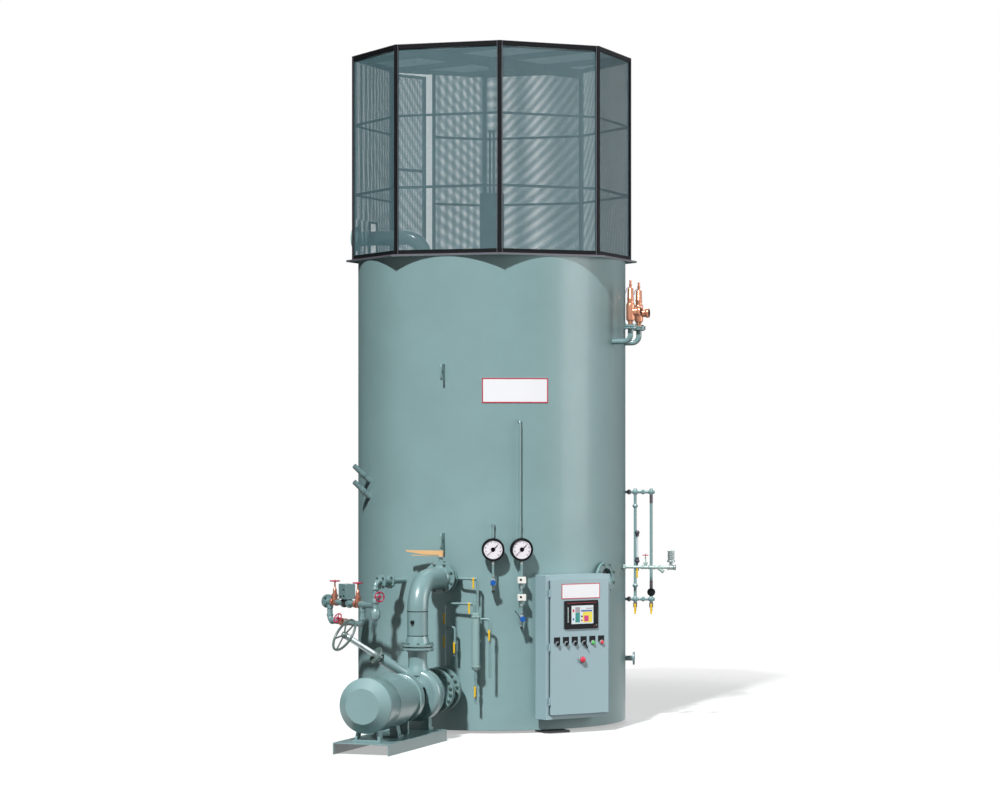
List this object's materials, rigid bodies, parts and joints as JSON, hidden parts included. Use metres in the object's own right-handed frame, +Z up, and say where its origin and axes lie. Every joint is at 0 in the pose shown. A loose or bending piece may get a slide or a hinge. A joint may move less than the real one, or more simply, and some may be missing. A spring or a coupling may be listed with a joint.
{
  "type": "electrode steam boiler",
  "caption": "Tall vertical electrode steam boiler with mesh safety cage, circulation pump, valve trains, gauges and control cabinet.",
  "frame": {"origin": "centre of the anchor bolt circle, on the vessel's axis at floor level", "axes": "+Z up along the vessel, +X to the right as one faces the front, +Y away from the front"},
  "size_m": [3.9253, 5.4642, 7.458],
  "materials": {
    "black_case": "matt",
    "blue_paint": "gloss",
    "bronze": "cast",
    "dark_paint": "satin",
    "glass": "clear",
    "green_paint": "satin",
    "mesh_steel": "satin",
    "red_paint": "gloss",
    "white_plate": "gloss",
    "yellow_sleeve": "gloss"
  },
  "bodies": {
    "boiler": {"angled_stubs": "green_paint", "ball_valve_levers": "yellow_sleeve", "base_ring": "dark_paint", "bell_housing": "green_paint", "butterfly_valve": "green_paint", "cabinet_body": "green_paint", "cage_opening_frames": "dark_paint", "cage_posts": "dark_paint", "cage_rails": "dark_paint", "cage_roof_beams": "dark_paint", "cage_roof_mesh": "mesh_steel", "cage_side_mesh": "mesh_steel", "cage_stiffeners": "dark_paint", "column_piping": "green_paint", "deck_fittings": "green_paint", "deck_plate": "green_paint", "discharge_pipe": "green_paint", "electrode_actuator": "green_paint", "feed_control_valve": "green_paint", "feed_piping": "green_paint", "feed_valves": "bronze", "gauge_cases": "black_case", "gauge_dials": "white_plate", "gauge_glass": "glass", "gauge_glass_cocks": "bronze", "gauge_piping": "green_paint", "gauge_valves": "blue_paint", "level_float": "black_case", "level_line": "green_paint", "lifting_lugs": "green_paint", "motor": "green_paint", "motor_cover": "green_paint", "pressure_switches": "white_plate", "pump_base": "green_paint", "pump_nozzles": "green_paint", "pump_volute": "green_paint", "safety_valve_pipes": "green_paint", "safety_valves": "bronze", "sample_cooler": "green_paint", "sample_piping": "green_paint", "shell_nozzles": "green_paint", "steam_outlet": "green_paint", "stop_valve": "green_paint", "vessel_bottom": "green_paint", "vessel_nameplate": "white_plate", "vessel_shell": "green_paint"},
    "cage_door_leaf": {"cage_door": "dark_paint", "cage_door_mesh": "mesh_steel"},
    "cabinet_door_leaf": {"cabinet_door": "green_paint", "operator_panel": "black_case", "door_controls": "black_case"},
    "stop_valve_handwheel": {"stop_valve_wheel": "red_paint"},
    "butterfly_handle": {"butterfly_lever": "yellow_sleeve"},
    "feed_handwheel_right": {"feed_wheel_right": "red_paint"},
    "feed_handwheel_left": {"feed_wheel_left": "red_paint"},
    "bypass_handwheel": {"bypass_wheel": "red_paint"},
    "feed_stop_handwheel": {"feed_stop_wheel": "red_paint"},
    "level_line_handwheel": {"level_line_wheel": "red_paint"}
  },
  "joints": [
    {"name": "cage_door_hinge", "type": "hinge", "parent": "boiler", "child": "cage_door_leaf", "pos_m": [-1.14862, 1.06409, 5.17], "axis": [0, 0, 1], "range_deg": [-18, 92]},
    {"name": "cabinet_door_hinge", "type": "hinge", "parent": "boiler", "child": "cabinet_door_leaf", "pos_m": [0.62378, -1.66009, 0.9], "axis": [0, 0, -1], "range_deg": [0, 110]},
    {"name": "stop_valve_turn", "type": "hinge", "parent": "boiler", "child": "stop_valve_handwheel", "pos_m": [-0.77506, -2.21321, 0.62], "axis": [-0.7431, -0.429, 0.5135], "range_deg": [0, 720]},
    {"name": "butterfly_turn", "type": "hinge", "parent": "boiler", "child": "butterfly_handle", "pos_m": [-0.54204, -1.54783, 1.683], "axis": [0, 0, 1], "range_deg": [0, 90]},
    {"name": "feed_gate_right_turn", "type": "hinge", "parent": "boiler", "child": "feed_handwheel_right", "pos_m": [-1.45268, -1.18272, 1.607], "axis": [0, 0, 1], "range_deg": [0, 720]},
    {"name": "feed_gate_left_turn", "type": "hinge", "parent": "boiler", "child": "feed_handwheel_left", "pos_m": [-1.72668, -0.70814, 1.607], "axis": [0, 0, 1], "range_deg": [0, 720]},
    {"name": "bypass_turn", "type": "hinge", "parent": "boiler", "child": "bypass_handwheel", "pos_m": [-1.61918, -0.89434, 1.165], "axis": [-0.6243, -0.6243, 0.4695], "range_deg": [0, 720]},
    {"name": "feed_stop_turn", "type": "hinge", "parent": "boiler", "child": "feed_stop_handwheel", "pos_m": [-1.24668, -1.53953, 1.479], "axis": [0.4226, -0.9063, 0], "range_deg": [0, 720]},
    {"name": "level_line_turn", "type": "hinge", "parent": "boiler", "child": "level_line_handwheel", "pos_m": [1.70675, -0.42554, 1.878], "axis": [0, 0, 1], "range_deg": [0, 720]}
  ]
}
